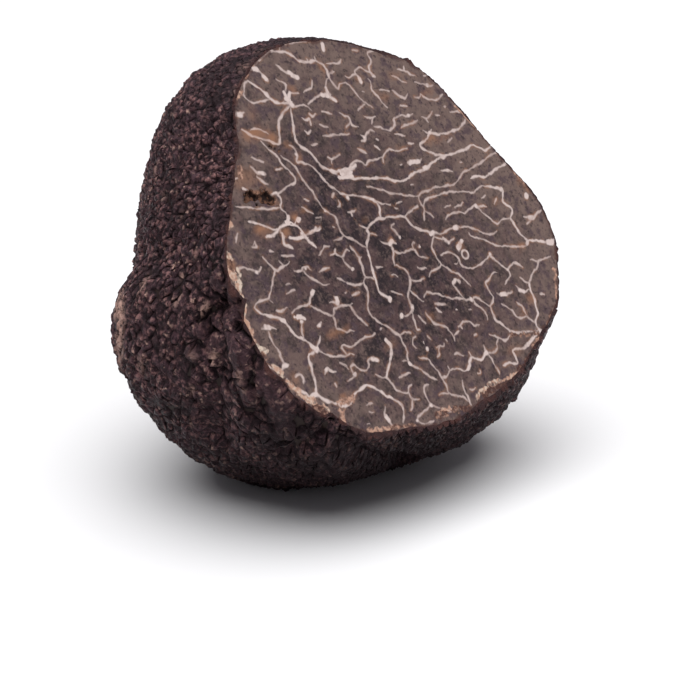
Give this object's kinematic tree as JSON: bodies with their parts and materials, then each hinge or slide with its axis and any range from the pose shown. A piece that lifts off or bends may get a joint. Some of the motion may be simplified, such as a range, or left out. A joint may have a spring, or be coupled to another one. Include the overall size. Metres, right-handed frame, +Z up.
{
  "type": "black truffle",
  "caption": "Round, lobed truffle with a black warty rind, cut open on one side by a flat face that shows its veined flesh; rests on a small flat spot.",
  "frame": {"origin": "centre of the small flat spot that the truffle rests on", "axes": "+Z up from the surface it rests on; the cut face looks half-way between +X and -Y and tips up by 29 degrees"},
  "size_m": [0.0675, 0.0673, 0.066],
  "materials": {
    "truffle": "dull, dark brown-black"
  },
  "bodies": {
    "root": {"truffle": "truffle"}
  },
  "joints": []
}
